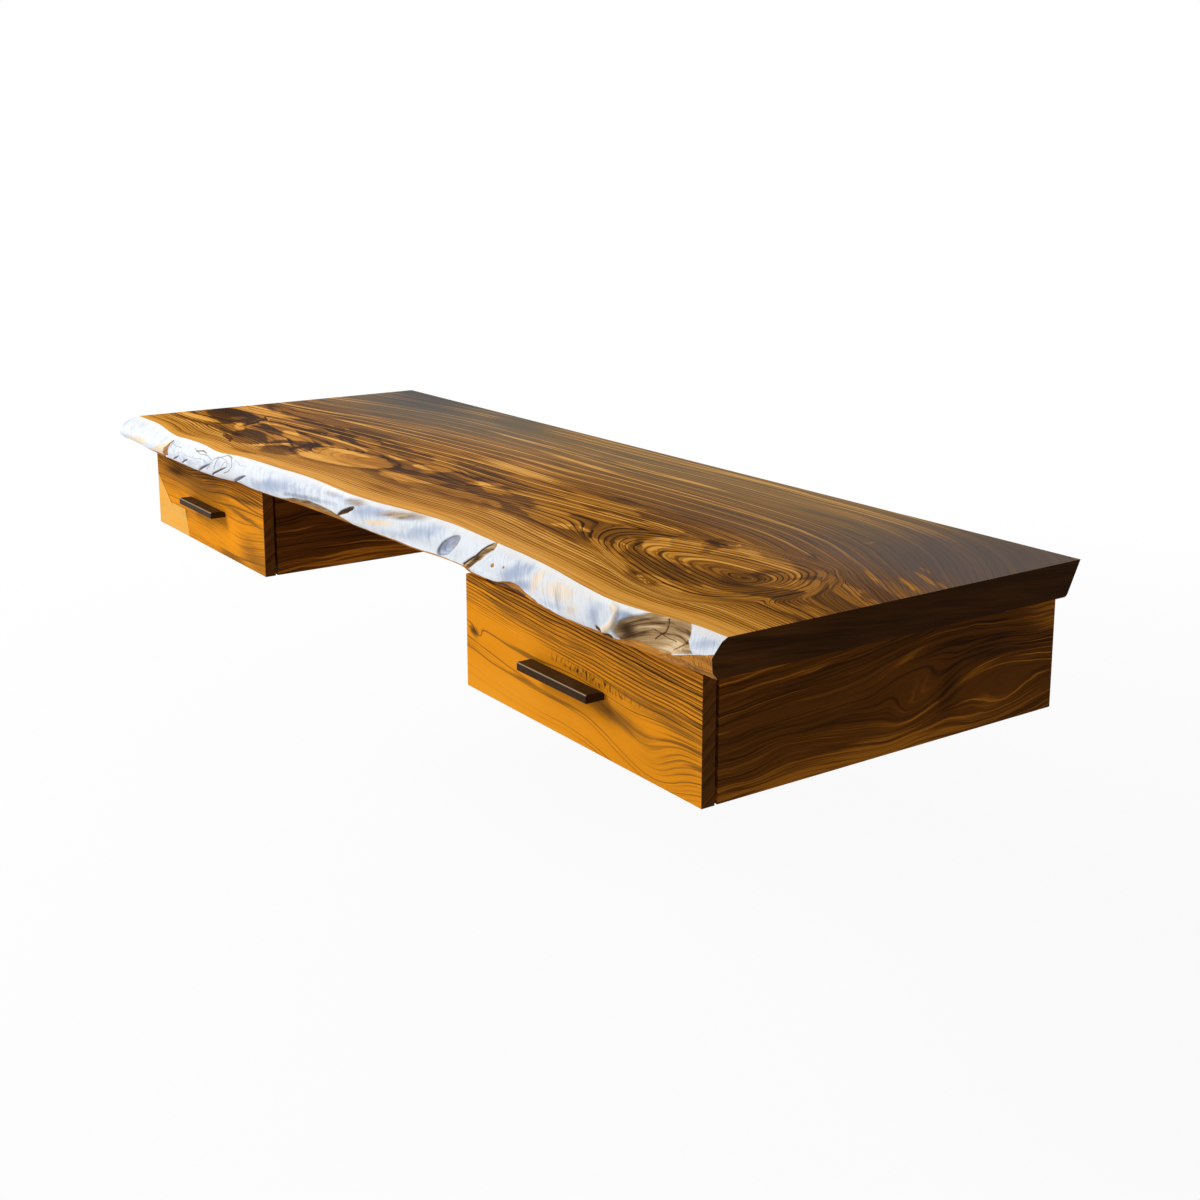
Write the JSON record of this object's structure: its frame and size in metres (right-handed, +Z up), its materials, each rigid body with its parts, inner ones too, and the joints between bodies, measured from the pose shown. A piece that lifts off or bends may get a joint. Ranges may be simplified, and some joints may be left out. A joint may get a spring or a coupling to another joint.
{
  "type": "floating wall desk",
  "caption": "Wall-hung desk: thick live-edge wood slab over a drawer case at each end, with open knee space between and low metal bar handles on full-width drawer fronts.",
  "frame": {"origin": "on the wall plane, half-way along the desk, on the line of the wall screws, 130 mm below the slab's top", "axes": "+X along the desk to the right seen from the room, +Y into the wall, +Z up; drawers open along -Y"},
  "size_m": [1.8, 0.6534, 0.2095],
  "materials": {
    "slab_figured_wood": "oiled, satin, strongly figured",
    "drawer_front_wood": "oiled, satin",
    "case_dark_wood": "oiled, satin",
    "case_panel_wood": "oiled, satin",
    "drawer_box_wood": "clear lacquer, satin",
    "cleat_plywood": "raw",
    "dowel_beech": "raw",
    "handle_bronze": "dark bronze, satin",
    "slide_steel": "bright zinc",
    "cage_steel": "polished",
    "screw_steel": "bright zinc",
    "bumper_rubber": "matt"
  },
  "bodies": {
    "desk": {"slab_top": "slab_figured_wood", "case_dowels": "dowel_beech", "slab_screws": "screw_steel", "hanging_cleat_screws": "screw_steel", "case_slide_screws": "screw_steel", "left_case_inner_side": "case_dark_wood", "left_case_outer_side": "case_dark_wood", "left_case_bottom": "case_panel_wood", "left_case_back": "case_panel_wood", "left_case_front_rail": "case_panel_wood", "left_case_rear_rail": "case_panel_wood", "left_case_bumpers": "bumper_rubber", "left_wall_cleat": "cleat_plywood", "left_hanging_cleat": "cleat_plywood", "left_inner_slide_case_member": "slide_steel", "left_outer_slide_case_member": "slide_steel", "right_case_inner_side": "case_dark_wood", "right_case_outer_side": "case_dark_wood", "right_case_bottom": "case_panel_wood", "right_case_back": "case_panel_wood", "right_case_front_rail": "case_panel_wood", "right_case_rear_rail": "case_panel_wood", "right_case_bumpers": "bumper_rubber", "right_wall_cleat": "cleat_plywood", "right_hanging_cleat": "cleat_plywood", "right_inner_slide_case_member": "slide_steel", "right_outer_slide_case_member": "slide_steel"},
    "left_drawer": {"left_drawer_front": "drawer_front_wood", "left_drawer_box_front": "drawer_box_wood", "left_drawer_box_back": "drawer_box_wood", "left_drawer_box_inner_side": "drawer_box_wood", "left_drawer_box_outer_side": "drawer_box_wood", "left_drawer_box_bottom": "drawer_box_wood", "left_handle": "handle_bronze", "left_handle_screws": "screw_steel", "left_drawer_front_screws": "screw_steel", "left_inner_slide_drawer_member": "slide_steel", "left_outer_slide_drawer_member": "slide_steel", "left_drawer_slide_screws": "screw_steel"},
    "left_middle_members": {"left_inner_slide_middle_member": "slide_steel", "left_outer_slide_middle_member": "slide_steel"},
    "left_case_stage_cages": {"left_case_stage_ball_cages": "cage_steel"},
    "left_drawer_stage_cages": {"left_drawer_stage_ball_cages": "cage_steel"},
    "right_drawer": {"right_drawer_front": "drawer_front_wood", "right_drawer_box_front": "drawer_box_wood", "right_drawer_box_back": "drawer_box_wood", "right_drawer_box_inner_side": "drawer_box_wood", "right_drawer_box_outer_side": "drawer_box_wood", "right_drawer_box_bottom": "drawer_box_wood", "right_handle": "handle_bronze", "right_handle_screws": "screw_steel", "right_drawer_front_screws": "screw_steel", "right_inner_slide_drawer_member": "slide_steel", "right_outer_slide_drawer_member": "slide_steel", "right_drawer_slide_screws": "screw_steel"},
    "right_middle_members": {"right_inner_slide_middle_member": "slide_steel", "right_outer_slide_middle_member": "slide_steel"},
    "right_case_stage_cages": {"right_case_stage_ball_cages": "cage_steel"},
    "right_drawer_stage_cages": {"right_drawer_stage_ball_cages": "cage_steel"}
  },
  "joints": [
    {"name": "left_drawer_slide", "type": "slide", "parent": "desk", "child": "left_drawer", "axis": [0, -1, 0], "range_m": [0, 0.5]},
    {"name": "left_middle_members_slide", "type": "slide", "parent": "desk", "child": "left_middle_members", "axis": [0, -1, 0], "range_m": [0, 0.25]},
    {"name": "left_case_stage_cages_slide", "type": "slide", "parent": "desk", "child": "left_case_stage_cages", "axis": [0, -1, 0], "range_m": [0, 0.125]},
    {"name": "left_drawer_stage_cages_slide", "type": "slide", "parent": "desk", "child": "left_drawer_stage_cages", "axis": [0, -1, 0], "range_m": [0, 0.375]},
    {"name": "right_drawer_slide", "type": "slide", "parent": "desk", "child": "right_drawer", "axis": [0, -1, 0], "range_m": [0, 0.5]},
    {"name": "right_middle_members_slide", "type": "slide", "parent": "desk", "child": "right_middle_members", "axis": [0, -1, 0], "range_m": [0, 0.25]},
    {"name": "right_case_stage_cages_slide", "type": "slide", "parent": "desk", "child": "right_case_stage_cages", "axis": [0, -1, 0], "range_m": [0, 0.125]},
    {"name": "right_drawer_stage_cages_slide", "type": "slide", "parent": "desk", "child": "right_drawer_stage_cages", "axis": [0, -1, 0], "range_m": [0, 0.375]}
  ],
  "couplings": [
    {"joint": "left_middle_members_slide", "follows": "left_drawer_slide", "ratio": 0.5},
    {"joint": "left_case_stage_cages_slide", "follows": "left_drawer_slide", "ratio": 0.25},
    {"joint": "left_drawer_stage_cages_slide", "follows": "left_drawer_slide", "ratio": 0.75},
    {"joint": "right_middle_members_slide", "follows": "right_drawer_slide", "ratio": 0.5},
    {"joint": "right_case_stage_cages_slide", "follows": "right_drawer_slide", "ratio": 0.25},
    {"joint": "right_drawer_stage_cages_slide", "follows": "right_drawer_slide", "ratio": 0.75}
  ]
}
